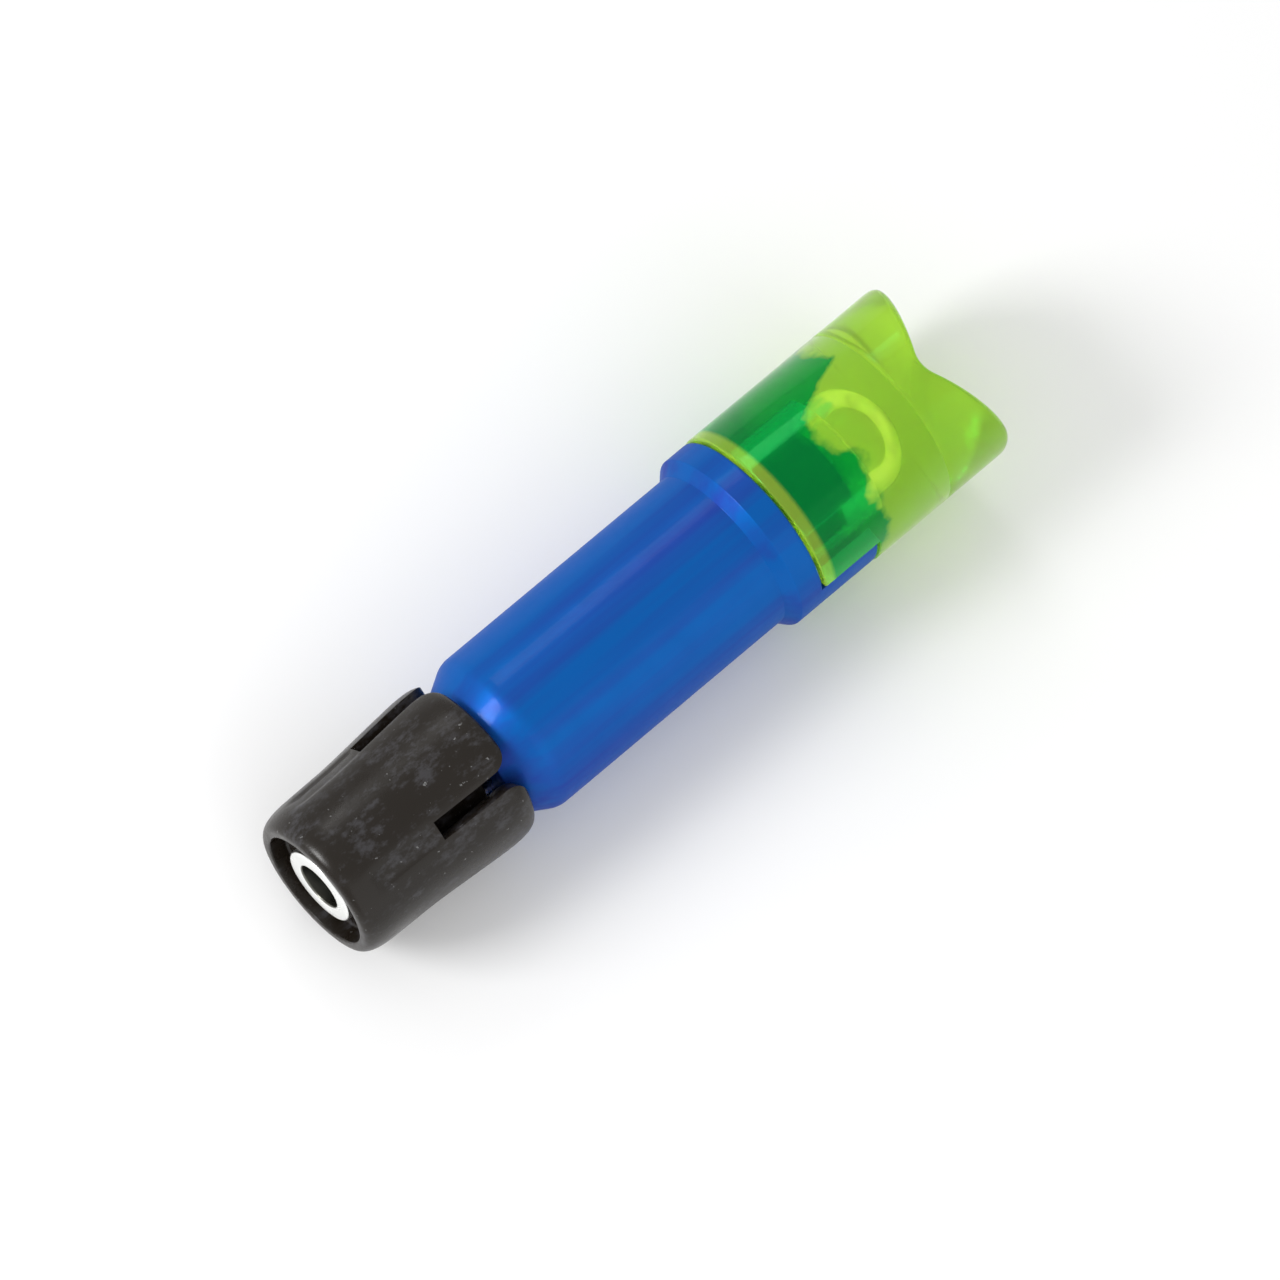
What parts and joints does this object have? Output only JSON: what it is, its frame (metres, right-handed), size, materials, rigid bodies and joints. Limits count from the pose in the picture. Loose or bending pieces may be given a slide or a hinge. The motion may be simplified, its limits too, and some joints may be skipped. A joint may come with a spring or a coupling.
{
  "type": "lighted bolt nock",
  "caption": "Lighted crossbow bolt nock: blue anodised barrel, clear green nock with a string groove that slides to switch its lamp, and a black slotted collet behind.",
  "frame": {"origin": "on the long axis, in the plane where the barrel's spigot meets its shoulder, which is where the bolt shaft's mouth stops", "axes": "+X along the axis towards the bowstring, +Z along the string groove, +Y across the groove with the barrel's key on the -Y side"},
  "size_m": [0.0351, 0.0088, 0.0088],
  "materials": {
    "green_polycarbonate": "clear green dyed polycarbonate, polished mould finish",
    "blue_anodised": "satin blue anodised, fine turning marks",
    "black_nylon": "moulded black nylon, satin with scuffs",
    "nickel_plate": "nickel plated, turned",
    "clear_epoxy": "clear cast epoxy",
    "tinned_lead": "tin plated steel lead frame",
    "led_die": "phosphor coated chip",
    "holder_nylon": "black moulded sleeve",
    "contact_brass": "bright turned brass",
    "cell_steel": "drawn stainless can",
    "gasket_plastic": "moulded polypropylene",
    "sleeve_film": "clear white insulating tube",
    "spring_steel": "bright drawn spring wire",
    "ring_rubber": "black nitrile"
  },
  "bodies": {
    "barrel": {"barrel": "blue_anodised", "tail_bush": "nickel_plate", "cell_sleeve": "sleeve_film", "cell_can": "cell_steel", "cell_gasket": "gasket_plastic", "cell_pin": "contact_brass", "spring_washer": "cell_steel", "cell_spring": "spring_steel"},
    "nock": {"nock": "green_polycarbonate", "led_lens": "clear_epoxy", "led_anode": "tinned_lead", "led_cathode": "tinned_lead", "led_chip": "led_die", "lamp_holder": "holder_nylon", "pin_socket": "contact_brass", "contact_ring": "contact_brass", "latch_ring": "ring_rubber", "seal_ring": "ring_rubber"},
    "collet": {"collet": "black_nylon"}
  },
  "joints": [
    {"name": "nock_slide", "type": "slide", "parent": "barrel", "child": "nock", "axis": [1, 0, 0], "range_m": [0, 0.0012]},
    {"name": "collet_slide", "type": "slide", "parent": "barrel", "child": "collet", "axis": [1, 0, 0], "range_m": [0, 0.0004]}
  ]
}
